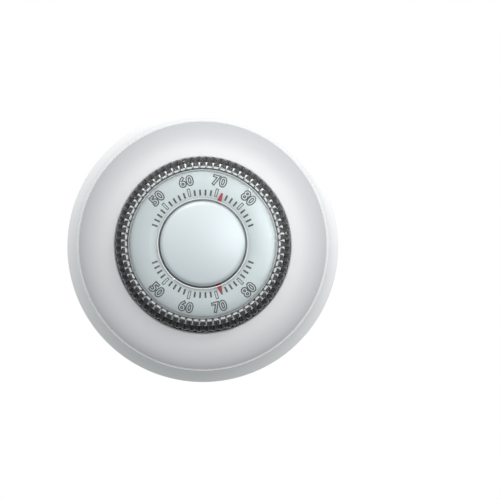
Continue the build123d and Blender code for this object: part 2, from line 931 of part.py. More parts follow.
def lever_spring():
    """Leaf that presses the lever's nose outwards against the cam. Its root sits in the post's slot."""
    angle = lever_angle(0)
    side = lever_width / 2 + leaf_gap + leaf_thickness / 2
    touch = polar(leaf_touch, angle, coil_axis)
    touch = polar(side, angle + 90, touch)
    return link(leaf_post_place(), touch, leaf_thickness, leaf_back, leaf_back + leaf_width)


def leaf_post():
    post = disc(leaf_post_radius, floor_front, leaf_back + leaf_width + 0.4, leaf_post_place())
    post += disc(rivet_radius, case_floor_back, floor_front, leaf_post_place())
    return post - lever_spring()


# --- heat anticipator, which is set with the cover ring off ---
def anticipator_card():
    return arc_plate(card_inner, card_inner + card_wall, card_start, card_end, floor_front, card_front)


def anticipator_winding():
    first, last = card_start + winding_margin, card_end - winding_margin
    inside = (card_inner - winding_wall, card_inner)
    outside = (card_inner + card_wall, card_inner + card_wall + winding_wall)
    return [
        arc_plate(inner, outer, first, last, winding_back, winding_front)
        for inner, outer in (inside, outside)
    ]


def anticipator_slider():
    half = slider_width / 2
    back = winding_front + running_gap
    inner = card_inner - winding_wall - 0.3
    outer = card_inner + card_wall + winding_wall + 0.3
    body = arc_plate(inner, outer, slider_angle - half, slider_angle + half, back, slider_front)
    body += arc_plate(
        outer - 0.3, outer + slider_reach, slider_angle - 0.8, slider_angle + 0.8, back, back + 1
    )
    return body - tube(
        card_inner + card_wall + running_gap, card_inner - running_gap, back, card_front + running_gap
    )


def anticipator_label():
    outer = case_step_radius - 0.2
    return arc_plate(
        outer - label_width, outer, card_start, card_end, floor_front, floor_front + label_thickness
    )


# --- cover ring, which pulls off towards the room ---
def cover_ring():
    front = SagittaArc(
        (cover_flat_radius, cover_front - 0.15), (cover_radius, cover_edge_front), 0.42
    )
    lip_top = (opening_radius + cover_lip_round, cover_front)
    lip = RadiusArc((opening_radius, cover_front - cover_lip_round), lip_top, cover_lip_round)
    inner_front = cover_front - cover_wall
    spigot_bore = spigot_radius - cover_spigot_wall
    outline = [lip, Line(lip_top, (cover_flat_radius, cover_front - 0.15)), front] + open_path(
        [
            (cover_radius, cover_edge_front),
            (cover_radius, cover_edge_back),
            (spigot_radius, cover_edge_back),
            (spigot_radius, cover_bottom),
            (spigot_bore, cover_bottom),
            (spigot_bore, inner_front - 0.7),
            (cover_flat_radius - 0.6, inner_front),
            (opening_radius + cover_wall, inner_front),
            (opening_radius + cover_wall, cover_lip_back),
            (opening_radius, cover_lip_back),
            (opening_radius, cover_front - cover_lip_round),
        ]
    )
    return turned(outline)


pieces = [
    wall_plate, terminal_straps, terminal_washers, terminal_screws, insert_posts,
    base_case, captive_screws, retainer_ring, retainer_screws, supply_strap, load_strap,
    clear_dial, set_pointer, cam_segment,
    scale_cup, scale_posts, scale_screws, centre_post, post_screw, cap_core, centre_cap,
    room_pointer, room_sleeve, room_coil, anchor_pin,
    coil_pin, cam_lever, control_coil, contact_arm, moving_contact, armature,
    magnet, contact_bracket, fixed_contact, bracket_rivet, stop_pin, leaf_post, lever_spring,
    anticipator_card, anticipator_winding, anticipator_slider, anticipator_label,
    cover_ring,
]


def save(name, shape):
    """Turns a piece from the dial's frame into the part's frame and writes its STEP file."""
    solids = [s for item in shape for s in item.solids()] if isinstance(shape, list) else shape.solids()
    turned_solids = [Rot(90, 0, 0) * solid for solid in solids]
    export_step(Compound(children=turned_solids), f"parts/{name}.step")


os.makedirs("parts", exist_ok=True)
for piece in pieces:
    save(piece.__name__, piece())
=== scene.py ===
# Looks for the round wall thermostat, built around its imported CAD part.
# The dial's axis is Y and the room is on the -Y side, so a depth d from the wall lies at y = -d.
# Angles on the dial are in degrees clockwise from straight up, as a person in the room sees them.
import bmesh
import bpy
import json
from math import asin, atan2, cos, degrees, hypot, pi, radians, sin, sqrt
from mathutils import Matrix, Vector


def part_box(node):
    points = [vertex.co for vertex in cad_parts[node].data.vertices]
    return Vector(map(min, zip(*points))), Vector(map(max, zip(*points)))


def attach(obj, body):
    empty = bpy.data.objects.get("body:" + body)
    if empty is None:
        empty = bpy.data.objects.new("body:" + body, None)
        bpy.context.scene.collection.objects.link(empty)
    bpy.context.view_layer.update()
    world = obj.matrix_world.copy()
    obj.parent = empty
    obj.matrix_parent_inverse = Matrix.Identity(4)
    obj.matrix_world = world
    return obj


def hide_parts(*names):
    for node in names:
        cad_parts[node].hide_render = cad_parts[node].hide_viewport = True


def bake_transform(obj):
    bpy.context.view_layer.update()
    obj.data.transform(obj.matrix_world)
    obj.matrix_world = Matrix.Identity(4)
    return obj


mm = 0.001
scene = bpy.context.scene
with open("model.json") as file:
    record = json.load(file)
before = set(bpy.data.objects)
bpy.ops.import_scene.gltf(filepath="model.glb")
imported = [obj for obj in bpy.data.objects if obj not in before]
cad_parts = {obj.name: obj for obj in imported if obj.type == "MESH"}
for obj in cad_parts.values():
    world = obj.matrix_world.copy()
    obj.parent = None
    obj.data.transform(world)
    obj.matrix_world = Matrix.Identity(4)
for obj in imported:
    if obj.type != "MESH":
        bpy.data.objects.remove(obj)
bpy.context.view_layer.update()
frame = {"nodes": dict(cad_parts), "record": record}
nodes = frame["nodes"]
print("stage: frame loaded,", len(nodes), "nodes")


def newGroup(name, inputs, outputs):
    group = bpy.data.node_groups.new(name, "ShaderNodeTree")
    for label, value in inputs.items():
        socket = group.interface.new_socket(label, in_out="INPUT", socket_type="NodeSocketFloat")
        socket.default_value = value
    for label, kind in outputs.items():
        group.interface.new_socket(label, in_out="OUTPUT", socket_type=kind)
    return group, group.nodes.new("NodeGroupInput"), group.nodes.new("NodeGroupOutput")


def addNode(tree, kind, **settings):
    node = tree.nodes.new(kind)
    for key, value in settings.items():
        setattr(node, key, value)
    return node


skinOutputs = {"Roughness": "NodeSocketFloat", "Normal": "NodeSocketVector", "Tint": "NodeSocketFloat"}


def finishSkin(group, source, sink, relief, height, wander, tint):
    # A bump from the height, relief metres high, a gloss that wanders and a mask for the colour.
    link = group.links.new
    bump = addNode(group, "ShaderNodeBump")
    bump.inputs["Distance"].default_value = relief
    link(source.outputs["Depth"], bump.inputs["Strength"])
    link(height, bump.inputs["Height"])
    centred = addNode(group, "ShaderNodeMath", operation="SUBTRACT")
    centred.inputs[1].default_value = 0.5
    link(wander, centred.inputs[0])
    drift = addNode(group, "ShaderNodeMath", operation="MULTIPLY_ADD")
    link(centred.outputs[0], drift.inputs[0])
    link(source.outputs["Drift"], drift.inputs[1])
    link(source.outputs["Gloss"], drift.inputs[2])
    link(drift.outputs[0], sink.inputs["Roughness"])
    link(bump.outputs["Normal"], sink.inputs["Normal"])
    link(tint, sink.inputs["Tint"])
    return group


def buildMouldedSkin():
    # Spark-eroded plastic: a fine pebble, soft waves from cooling and a little drift in gloss.
    group, source, sink = newGroup(
        "mouldedSkin", {"Pebble": 2200.0, "Depth": 0.05, "Gloss": 0.5, "Drift": 0.05}, skinOutputs
    )
    link = group.links.new
    place = addNode(group, "ShaderNodeTexCoord")
    pebble = addNode(group, "ShaderNodeTexNoise")
    pebble.inputs["Detail"].default_value = 3
    link(place.outputs["Object"], pebble.inputs["Vector"])
    link(source.outputs["Pebble"], pebble.inputs["Scale"])
    wave = addNode(group, "ShaderNodeTexNoise")
    wave.inputs["Scale"].default_value = 60
    wave.inputs["Detail"].default_value = 2
    link(place.outputs["Object"], wave.inputs["Vector"])
    soft = wave.outputs["Fac"]
    return finishSkin(
        group, source, sink, relief=0.00005, height=pebble.outputs["Fac"], wander=soft, tint=soft
    )


def buildTurnedMetal():
    # Metal turned or brushed round the dial's axis: rings that vary with the distance from the axis.
    group, source, sink = newGroup(
        "turnedMetal", {"Rings": 9000.0, "Depth": 0.1, "Gloss": 0.35, "Drift": 0.1}, skinOutputs
    )
    link = group.links.new
    place = addNode(group, "ShaderNodeTexCoord")
    flat = addNode(group, "ShaderNodeVectorMath", operation="MULTIPLY")
    flat.inputs[1].default_value = (1, 0, 1)
    link(place.outputs["Object"], flat.inputs[0])
    reach = addNode(group, "ShaderNodeVectorMath", operation="LENGTH")
    link(flat.outputs[0], reach.inputs[0])
    turn = addNode(group, "ShaderNodeVectorMath", operation="NORMALIZE")
    link(flat.outputs[0], turn.inputs[0])
    along = addNode(group, "ShaderNodeVectorMath", operation="SCALE")
    along.inputs["Scale"].default_value = 0.0016     # each ring changes a little on its way round
    link(turn.outputs[0], along.inputs[0])
    joined = addNode(group, "ShaderNodeCombineXYZ")
    link(reach.outputs["Value"], joined.inputs["X"])
    spot = addNode(group, "ShaderNodeVectorMath", operation="ADD")
    link(along.outputs[0], spot.inputs[0])
    link(joined.outputs[0], spot.inputs[1])
    rings = addNode(group, "ShaderNodeTexNoise")
    rings.inputs["Detail"].default_value = 4
    rings.inputs["Roughness"].default_value = 0.7
    link(spot.outputs[0], rings.inputs["Vector"])
    link(source.outputs["Rings"], rings.inputs["Scale"])
    cut = rings.outputs["Fac"]
    return finishSkin(group, source, sink, relief=0.00003, height=cut, wander=cut, tint=cut)


def buildStock():
    # Rolled, plated or cast stock: stains, scratches in one direction and a grain.
    group, source, sink = newGroup(
        "stockGrain",
        {"Grain": 1500.0, "Stretch": 8.0, "Depth": 0.15, "Gloss": 0.4, "Drift": 0.2},
        skinOutputs,
    )
    link = group.links.new
    place = addNode(group, "ShaderNodeTexCoord")
    pull = addNode(group, "ShaderNodeCombineXYZ")
    pull.inputs["Y"].default_value = 1
    pull.inputs["Z"].default_value = 1
    link(source.outputs["Stretch"], pull.inputs["X"])
    longer = addNode(group, "ShaderNodeVectorMath", operation="DIVIDE")
    link(place.outputs["Object"], longer.inputs[0])
    link(pull.outputs[0], longer.inputs[1])
    grain = addNode(group, "ShaderNodeTexNoise")
    grain.inputs["Detail"].default_value = 4
    link(longer.outputs[0], grain.inputs["Vector"])
    link(source.outputs["Grain"], grain.inputs["Scale"])
    stain = addNode(group, "ShaderNodeTexNoise")
    stain.inputs["Scale"].default_value = 220
    stain.inputs["Detail"].default_value = 3
    link(place.outputs["Object"], stain.inputs["Vector"])
    rough, tint = grain.outputs["Fac"], stain.outputs["Fac"]
    return finishSkin(group, source, sink, relief=0.00003, height=rough, wander=rough, tint=tint)


def buildRingMask():
    # 0 inside the first radius, 1 outside the second, measured from the dial's axis in metres.
    group, source, sink = newGroup("ringMask", {"Start": 0.0, "End": 1.0}, {"Mask": "NodeSocketFloat"})
    place = addNode(group, "ShaderNodeTexCoord")
    flat = addNode(group, "ShaderNodeVectorMath", operation="MULTIPLY")
    flat.inputs[1].default_value = (1, 0, 1)
    group.links.new(place.outputs["Object"], flat.inputs[0])
    reach = addNode(group, "ShaderNodeVectorMath", operation="LENGTH")
    group.links.new(flat.outputs[0], reach.inputs[0])
    spread = addNode(group, "ShaderNodeMapRange", interpolation_type="SMOOTHSTEP")
    group.links.new(reach.outputs["Value"], spread.inputs["Value"])
    group.links.new(source.outputs["Start"], spread.inputs["From Min"])
    group.links.new(source.outputs["End"], spread.inputs["From Max"])
    group.links.new(spread.outputs["Result"], sink.inputs["Mask"])
    return group


ringMask = buildRingMask()
groups = {
    "mouldedSkin": buildMouldedSkin(),
    "turnedMetal": buildTurnedMetal(),
    "stockGrain": buildStock(),
}


def makeMaterial(name, effect, dark, light, values, **sockets):
    material = bpy.data.materials.new(name)
    material.use_nodes = True
    tree = material.node_tree
    tree.nodes.clear()
    output = tree.nodes.new("ShaderNodeOutputMaterial")
    shader = tree.nodes.new("ShaderNodeBsdfPrincipled")
    tree.links.new(shader.outputs[0], output.inputs[0])
    skin = addNode(tree, "ShaderNodeGroup", node_tree=groups[effect])
    for label, value in values.items():
        skin.inputs[label].default_value = value
    tint = addNode(tree, "ShaderNodeMix", data_type="RGBA")
    tint.inputs["A"].default_value = (*dark, 1)
    tint.inputs["B"].default_value = (*light, 1)
    tree.links.new(skin.outputs["Tint"], tint.inputs["Factor"])
    tree.links.new(tint.outputs["Result"], shader.inputs["Base Color"])
    tree.links.new(skin.outputs["Roughness"], shader.inputs["Roughness"])
    tree.links.new(skin.outputs["Normal"], shader.inputs["Normal"])
    for socket, value in sockets.items():
        shader.inputs[socket.replace("_", " ")].default_value = value
    return material


def maskByRadius(material, start, end):
    # A mask that grows between two radii in mm, beside the socket that gives the shader its colour.
    tree = material.node_tree
    shader = next(node for node in tree.nodes if node.type == "BSDF_PRINCIPLED")
    colour = shader.inputs["Base Color"]
    mask = addNode(tree, "ShaderNodeGroup", node_tree=ringMask)
    mask.inputs["Start"].default_value = start * mm
    mask.inputs["End"].default_value = end * mm
    return tree, mask.outputs["Mask"], colour.links[0].from_socket, colour


def addShoulderTone(material, start, end, shadeColour):
    # Painted shade: the cover's colour grows greyer from its opening outward, most over its shoulder.
    tree, mask, plain, colour = maskByRadius(material, start, end)
    shoulderShade = addNode(tree, "ShaderNodeMix", data_type="RGBA", blend_type="MULTIPLY")
    tree.links.new(mask, shoulderShade.inputs["Factor"])
    tree.links.new(plain, shoulderShade.inputs["A"])
    shoulderShade.inputs["B"].default_value = (*shadeColour, 1)
    tree.links.new(shoulderShade.outputs["Result"], colour)


def addDarkInside(material, start, end, dark):
    # Painted shade: the case's bore and floor are painted dark, as if in shadow, so that nothing pale shows
    # through the clear dial's skirt.
    tree, mask, plain, colour = maskByRadius(material, start, end)
    either = addNode(tree, "ShaderNodeMix", data_type="RGBA")
    either.inputs["A"].default_value = (*dark, 1)
    tree.links.new(mask, either.inputs["Factor"])
    tree.links.new(plain, either.inputs["B"])
    tree.links.new(either.outputs["Result"], colour)


def makeClear(name):
    # Clear moulded plastic. Shadow rays pass through, so that what is under the window is lit.
    material = bpy.data.materials.new(name)
    material.use_nodes = True
    tree = material.node_tree
    tree.nodes.clear()
    output = tree.nodes.new("ShaderNodeOutputMaterial")
    shader = tree.nodes.new("ShaderNodeBsdfPrincipled")
    shader.inputs["Base Color"].default_value = (0.97, 0.99, 0.985, 1)
    shader.inputs["Roughness"].default_value = 0.02
    shader.inputs["IOR"].default_value = 1.49
    shader.inputs["Transmission Weight"].default_value = 1.0
    passing = tree.nodes.new("ShaderNodeBsdfTransparent")
    passing.inputs["Color"].default_value = (0.9, 0.92, 0.92, 1)
    path = tree.nodes.new("ShaderNodeLightPath")
    either = tree.nodes.new("ShaderNodeMixShader")
    tree.links.new(path.outputs["Is Shadow Ray"], either.inputs[0])
    tree.links.new(shader.outputs[0], either.inputs[1])
    tree.links.new(passing.outputs[0], either.inputs[2])
    tree.links.new(either.outputs[0], output.inputs[0])
    return material


finishes = {
    "white_case": makeMaterial(
        "glossWhite", "mouldedSkin", (0.86, 0.865, 0.865), (0.88, 0.885, 0.885),
        {"Pebble": 900, "Depth": 0.02, "Gloss": 0.16, "Drift": 0.06}, Coat_Weight=0.25, Coat_Roughness=0.06,
    ),
    "cover_white": makeMaterial(
        "matteWhite", "mouldedSkin", (0.895, 0.898, 0.91), (0.91, 0.913, 0.925),
        {"Pebble": 3200, "Depth": 0.12, "Gloss": 0.55, "Drift": 0.08},
    ),
    "plate_plastic": makeMaterial(
        "plateGrey", "mouldedSkin", (0.60, 0.59, 0.56), (0.64, 0.63, 0.60),
        {"Pebble": 1600, "Depth": 0.2, "Gloss": 0.6, "Drift": 0.15},
    ),
    "inner_plastic": makeMaterial(
        "innerBlack", "mouldedSkin", (0.030, 0.030, 0.032), (0.045, 0.045, 0.048),
        {"Pebble": 1800, "Depth": 0.2, "Gloss": 0.45, "Drift": 0.15},
    ),
    "satin_silver": makeMaterial(
        "scaleSilver", "turnedMetal", (0.50, 0.54, 0.555), (0.545, 0.585, 0.60),
        {"Rings": 5200, "Depth": 0.04, "Gloss": 0.36, "Drift": 0.06}, Metallic=0.85,
    ),
    "cap_silver": makeMaterial(
        "capSilver", "turnedMetal", (0.635, 0.695, 0.715), (0.665, 0.725, 0.745),
        {"Rings": 6500, "Depth": 0.03, "Gloss": 0.40, "Drift": 0.05}, Metallic=0.85,
    ),
    "pointer_red": makeMaterial(
        "crimsonEnamel", "mouldedSkin", (0.30, 0.003, 0.012), (0.35, 0.004, 0.015),
        {"Pebble": 2500, "Depth": 0.05, "Gloss": 0.6, "Drift": 0.1}, Specular_IOR_Level=0.25,
    ),
    "zinc_steel": makeMaterial(
        "zincPlate", "stockGrain", (0.48, 0.49, 0.50), (0.66, 0.66, 0.64),
        {"Grain": 1800, "Stretch": 2.0, "Depth": 0.15, "Gloss": 0.34, "Drift": 0.3}, Metallic=1.0,
    ),
    "brass": makeMaterial(
        "plainBrass", "stockGrain", (0.56, 0.40, 0.17), (0.72, 0.54, 0.25),
        {"Grain": 1500, "Stretch": 9.0, "Depth": 0.2, "Gloss": 0.32, "Drift": 0.25}, Metallic=1.0,
    ),
    "bimetal": makeMaterial(
        "bimetalStrip", "stockGrain", (0.50, 0.44, 0.36), (0.62, 0.55, 0.45),
        {"Grain": 2600, "Stretch": 12.0, "Depth": 0.2, "Gloss": 0.3, "Drift": 0.2}, Metallic=1.0,
    ),
    "spring_steel": makeMaterial(
        "bluedSpring", "stockGrain", (0.16, 0.18, 0.24), (0.24, 0.26, 0.32),
        {"Grain": 2600, "Stretch": 12.0, "Depth": 0.15, "Gloss": 0.26, "Drift": 0.2}, Metallic=1.0,
    ),
    "contact_silver": makeMaterial(
        "fineSilver", "stockGrain", (0.80, 0.79, 0.76), (0.90, 0.89, 0.87),
        {"Grain": 2000, "Stretch": 1.0, "Depth": 0.1, "Gloss": 0.22, "Drift": 0.2}, Metallic=1.0,
    ),
    "magnet_grey": makeMaterial(
        "sinteredMagnet", "stockGrain", (0.05, 0.05, 0.055), (0.09, 0.09, 0.095),
        {"Grain": 3500, "Stretch": 1.0, "Depth": 0.5, "Gloss": 0.5, "Drift": 0.2}, Metallic=0.4,
    ),
    "card_brown": makeMaterial(
        "fibreCard", "stockGrain", (0.12, 0.062, 0.028), (0.20, 0.11, 0.055),
        {"Grain": 2600, "Stretch": 5.0, "Depth": 0.4, "Gloss": 0.7, "Drift": 0.1},
    ),
    "resistance_wire": makeMaterial(
        "windingWire", "stockGrain", (0.40, 0.27, 0.16), (0.58, 0.42, 0.27),
        {"Grain": 2200, "Stretch": 0.2, "Depth": 0.8, "Gloss": 0.35, "Drift": 0.2}, Metallic=1.0,
    ),
    "label_white": makeMaterial(
        "labelPaper", "mouldedSkin", (0.72, 0.71, 0.66), (0.78, 0.77, 0.72),
        {"Pebble": 4200, "Depth": 0.2, "Gloss": 0.7, "Drift": 0.05},
    ),
    "clear_plastic": makeClear("clearKnobPlastic"),
}
scaleInk = makeMaterial(
    "scaleInk", "mouldedSkin", (0.010, 0.012, 0.013), (0.018, 0.02, 0.021),
    {"Pebble": 3000, "Depth": 0.02, "Gloss": 0.55, "Drift": 0.05},
)
# Painted shade: black laid on the knob's bore and the scale's skirt, where they stand in shadow.
paintedShadeBlack = makeMaterial(
    "paintedShadeBlack", "mouldedSkin", (0.012, 0.012, 0.013), (0.02, 0.02, 0.021),
    {"Pebble": 2600, "Depth": 0.1, "Gloss": 0.5, "Drift": 0.1},
)
# Painted refraction: the pale ground between the flutes' dark dashes.
paintedRefractionGrey = makeMaterial(
    "paintedRefractionGrey", "mouldedSkin", (0.68, 0.70, 0.705), (0.74, 0.76, 0.765),
    {"Pebble": 2600, "Depth": 0.02, "Gloss": 0.4, "Drift": 0.05},
)
# Painted highlight: a pale line on rounded edges, where they would catch the light.
paintedHighlightWhite = makeMaterial(
    "paintedHighlightWhite", "mouldedSkin", (0.86, 0.87, 0.87), (0.9, 0.91, 0.91),
    {"Pebble": 2600, "Depth": 0.02, "Gloss": 0.4, "Drift": 0.05},
)
# Painted shade over the cover's shoulder.
addShoulderTone(finishes["cover_white"], 26.0, 39.5, (0.50, 0.50, 0.51))
# Painted shade inside the case's bore and on its floor.
addDarkInside(finishes["white_case"], 33.75, 33.85, (0.02, 0.02, 0.021))
extras = (scaleInk, paintedShadeBlack, paintedRefractionGrey, paintedHighlightWhite)
print("stage: materials ready,", len(finishes) + len(extras))

for part in frame["record"]["subparts"]:
    skin = nodes[part["node"]].data.materials
    skin.clear()
    skin.append(finishes[part["material_slot"]])
print("stage: CAD pieces painted")


def finishPiece(name, shape, material, body, replaced=(), sharp=35):
    bmesh.ops.recalc_face_normals(shape, faces=shape.faces)
    mesh = bpy.data.meshes.new(name)
    shape.to_mesh(mesh)
    shape.free()
    mesh.materials.append(material)
    for face in mesh.polygons:
        face.use_smooth = True
    mesh.set_sharp_from_angle(angle=radians(sharp))
    piece = bpy.data.objects.new(name, mesh)
    scene.collection.objects.link(piece)
    if body:                                     # a piece given no body rides on none
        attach(piece, body)
    if replaced:
        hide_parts(*replaced)
    print("made", name, len(mesh.polygons), "faces")
    return piece


def spinLoop(profile, steps):
    # A closed loop of (radius, depth) in mm, spun round the dial's axis.
    shape = bmesh.new()
    corners = [shape.verts.new((radius * mm, -depth * mm, 0)) for radius, depth in profile]
    sides = [shape.edges.new(pair) for pair in zip(corners, corners[1:] + corners[:1])]
    bmesh.ops.spin(
        shape, geom=corners + sides, cent=(0, 0, 0), axis=(0, 1, 0), angle=2 * pi, steps=steps,
        use_merge=True,
    )
    bmesh.ops.remove_doubles(shape, verts=shape.verts, dist=1e-7)
    return shape


def curveThrough(start, middle, end, count):
    # Points on a smooth curve from start to end that passes the middle point halfway.
    points = []
    for step in range(count + 1):
        t = step / count
        bend = 2 * t * (1 - t)
        pull = [2 * m - 0.5 * (s + e) for s, m, e in zip(start, middle, end)]
        points.append(tuple(
            s * (1 - t) ** 2 + p * bend + e * t ** 2 for s, p, e in zip(start, pull, end)
        ))
    return points


coverRing = {
    "opening": 26.5,
    "lipRound": 0.45,
    "front": 18.4,
    "shoulderStart": 32.4,
    "shoulderDrop": 0.15,
    "shoulderBulge": (0.35, 0.55),   # its middle: how far out of halfway, and how far under the front
    "shoulderCuts": 14,
    "nearlyFlat": (29.5, 0.04),      # a radius, and how far the face has dropped there
    "edge": (37.2, 16.7),
    "edgeLead": (0.15, 0.12),        # from the shoulder's end to the edge
    "edgeBack": 15.9,
    "edgeBevel": 0.1,
    "spigot": (35.7, 33.9),          # outer and inner radius
    "insideCorner": (0.6, 0.7),      # where the inside turns down, from the shoulder's start
    "bottom": 12.2,
    "wall": 1.5,
    "lipBack": 15.0,
    "lipCuts": 6,
    "steps": 240,
}


def makeCoverRing():
    c = coverRing
    lip = c["opening"] + c["lipRound"]
    rounded = [
        (lip - c["lipRound"] * cos(a), c["front"] - c["lipRound"] * (1 - sin(a)))
        for a in (radians(90 / c["lipCuts"] * k) for k in range(c["lipCuts"] + 1))
    ]
    outward, under = c["shoulderBulge"]
    shoulder = curveThrough(
        (c["shoulderStart"], c["front"] - c["shoulderDrop"]),
        ((c["shoulderStart"] + c["edge"][0]) / 2 + outward, c["front"] - under),
        (c["edge"][0] - c["edgeLead"][0], c["edge"][1] + c["edgeLead"][1]),
        c["shoulderCuts"],
    )
    inside = c["front"] - c["wall"]
    flatRadius, flatDrop = c["nearlyFlat"]
    profile = rounded + [(flatRadius, c["front"] - flatDrop)] + shoulder + [
        c["edge"],
        (c["edge"][0], c["edgeBack"] + c["edgeBevel"]),
        (c["edge"][0] - c["edgeBevel"], c["edgeBack"]),
        (c["spigot"][0], c["edgeBack"]),
        (c["spigot"][0], c["bottom"]),
        (c["spigot"][1], c["bottom"]),
        (c["spigot"][1], inside - c["insideCorner"][1]),
        (c["shoulderStart"] - c["insideCorner"][0], inside),
        (c["opening"] + c["wall"], inside),
        (c["opening"] + c["wall"], c["lipBack"]),
        (c["opening"], c["lipBack"]),
    ]
    shape = spinLoop(profile, c["steps"])
    return finishPiece(
        "coverShell", shape, finishes["cover_white"], "cover", ["cover_ring"], sharp=40
    )


makeCoverRing()


knob = {
    "radius": 26.0,
    "bore": 24.0,
    "front": 36.1,
    "windowBack": 34.36,         # leaves a little air over the set pointer
    "striped": (28.0, 34.2),     # the depths between which the bore is striped with painted shade
    "clearShare": 0.2,           # of each flute's pitch, left clear between two stripes
    "hole": 13.2,
    "holeEdge": 0.26,            # size of the hole's rounded edge, which carries a painted highlight, a pale line
    "holeRound": 0.08,
    "flange": (27.4, 9.6, 11.2),
    "flutes": 72,
    "cutsPerFlute": 10,
    "scoopRadius": 0.62,
    "scoopCentre": 0.28,         # how far the scoop's centre is outside the knob
    "tab": (21.0, 3.0, 0.8),     # middle and half width in degrees, reach in mm
}


def makeKnob():
    k = knob
    segments = k["flutes"] * k["cutsPerFlute"]
    pitch = 2 * pi / k["flutes"]
    flangeRadius, flangeBack, flangeFront = k["flange"]
    holeEdge, holeRound = k["holeEdge"], k["holeRound"]
    stripeBack, stripeFront = k["striped"]
    # radius, depth, share of the flute's scoop, its lean in degrees, tab or not
    rings = [
        (flangeRadius, flangeFront, 0, 0, 1), (k["radius"] + 0.15, flangeFront, 0, 0, 0),
        (k["radius"], flangeFront + 0.15, 0, 0, 0), (k["radius"], 12.9, 0, 0, 0),
        (k["radius"], 13.05, 1, 0, 0), (k["radius"], 20.0, 1, 0, 0), (k["radius"], 27.0, 1, 0, 0),
        (k["radius"], 33.5, 1, 5, 0), (25.93, 33.9, 1, 15, 0), (25.72, 34.45, 1, 25, 0),
        (25.36, 34.98, 1, 38, 0), (24.9, 35.42, 1, 48, 0), (24.35, 35.77, 0.9, 60, 0),
        (23.85, 35.97, 0.6, 75, 0), (23.45, k["front"], 0.1, 90, 0), (23.2, k["front"], 0, 0, 0),
        (20.0, k["front"], 0, 0, 0), (k["hole"] + holeEdge, k["front"], 0, 0, 0),
        (k["hole"] + holeRound, k["front"] - holeRound, 0, 0, 0),
        (k["hole"], k["front"] - holeEdge, 0, 0, 0),
        (k["hole"], k["windowBack"] + 0.15, 0, 0, 0), (k["hole"] + 0.15, k["windowBack"], 0, 0, 0),
        (18.0, k["windowBack"], 0, 0, 0), (22.75, k["windowBack"], 0, 0, 0), (23.3, 34.15, 0, 0, 0),
        (23.75, 33.7, 0, 0, 0), (k["bore"], 33.0, 0, 0, 0), (k["bore"], stripeBack, 0, 0, 0),
        (k["bore"], 20.0, 0, 0, 0), (k["bore"], flangeBack, 0, 0, 0),
        (flangeRadius, flangeBack, 0, 0, 1),
    ]

    def place(vert, ring):
        radius, depth, scoop, lean, tab = ring
        turn = atan2(vert.co.z, vert.co.x)
        if scoop:
            offset = (turn / pitch - round(turn / pitch)) * pitch * k["radius"]
            inside = k["scoopRadius"] ** 2 - offset ** 2
            if inside > 0:
                cut = scoop * max(0, sqrt(inside) - k["scoopCentre"])
                radius -= cut * cos(radians(lean))
                depth -= cut * sin(radians(lean))
        if tab:
            away = abs(degrees(pi / 2 - turn) - k["tab"][0])
            if away < k["tab"][1]:
                radius += k["tab"][2]
        vert.co = Vector((cos(turn) * radius * mm, -depth * mm, sin(turn) * radius * mm))

    shape = bmesh.new()
    bmesh.ops.create_circle(shape, radius=k["radius"] * mm, segments=segments)
    bmesh.ops.rotate(shape, verts=shape.verts, matrix=Matrix.Rotation(pi / 2, 3, "X"))
    for vert in shape.verts:
        place(vert, rings[0])
    first = edges = list(shape.edges)
    for ring in rings[1:]:
        grown = bmesh.ops.extrude_edge_only(shape, edges=edges)["geom"]
        edges = [item for item in grown if isinstance(item, bmesh.types.BMEdge)]
        edges = [edge for edge in edges if len(edge.link_faces) == 1]
        for vert in (item for item in grown if isinstance(item, bmesh.types.BMVert)):
            place(vert, ring)
    bmesh.ops.bridge_loops(shape, edges=first + edges)
    for face in shape.faces:
        middle = face.calc_center_median()
        radius, depth = hypot(middle.x, middle.z) / mm, -middle.y / mm
        across = atan2(middle.z, middle.x) / pitch % 1       # 0 and 1 are the middles of the scoops
        inStripe = abs(across - 0.5) > k["clearShare"] / 2
        # Painted highlight on the hole's rounded edge, painted shade in stripes on the bore.
        if radius < k["hole"] + holeEdge and depth > k["front"] - holeEdge:
            face.material_index = 2
        elif radius < k["bore"] and stripeBack < depth < stripeFront and inStripe:
            face.material_index = 1
    piece = finishPiece(
        "clearKnob", shape, finishes["clear_plastic"], "dial", ["clear_dial"], sharp=32
    )
    piece.data.materials.append(paintedShadeBlack)      # painted shade: dark stripes on the bore, behind the shoulder
    piece.data.materials.append(paintedHighlightWhite)       # painted highlight: the pale line round the window's hole
    return piece


makeKnob()


# Painted refraction: a ring of grey bars in the window's plastic, whose dark gaps stand in for the flutes'
# image seen through the shoulder.
fluteImage = {
    "count": 72,
    "radii": (22.48, 23.05),
    "depths": (34.6, 34.75),     # in the plastic, just outside the scale's edge
    "share": 0.66,               # of the pitch; painted refraction: the dark gaps between the grey bars read as the flutes' dashes
}


def makeTeeth():
    t = fluteImage
    inner, outer = t["radii"]
    back, front = t["depths"]
    pitch = 2 * pi / t["count"]
    shape = bmesh.new()
    for step in range(t["count"]):
        made = bmesh.ops.create_cube(shape, size=1)["verts"]
        for vert in made:
            radius = outer if vert.co.x > 0 else inner
            turn = (step + vert.co.z * t["share"]) * pitch
            depth = front if vert.co.y < 0 else back
            vert.co = (cos(turn) * radius * mm, -depth * mm, sin(turn) * radius * mm)
    return finishPiece("paintedFluteImage", shape, paintedRefractionGrey, "dial")


makeTeeth()


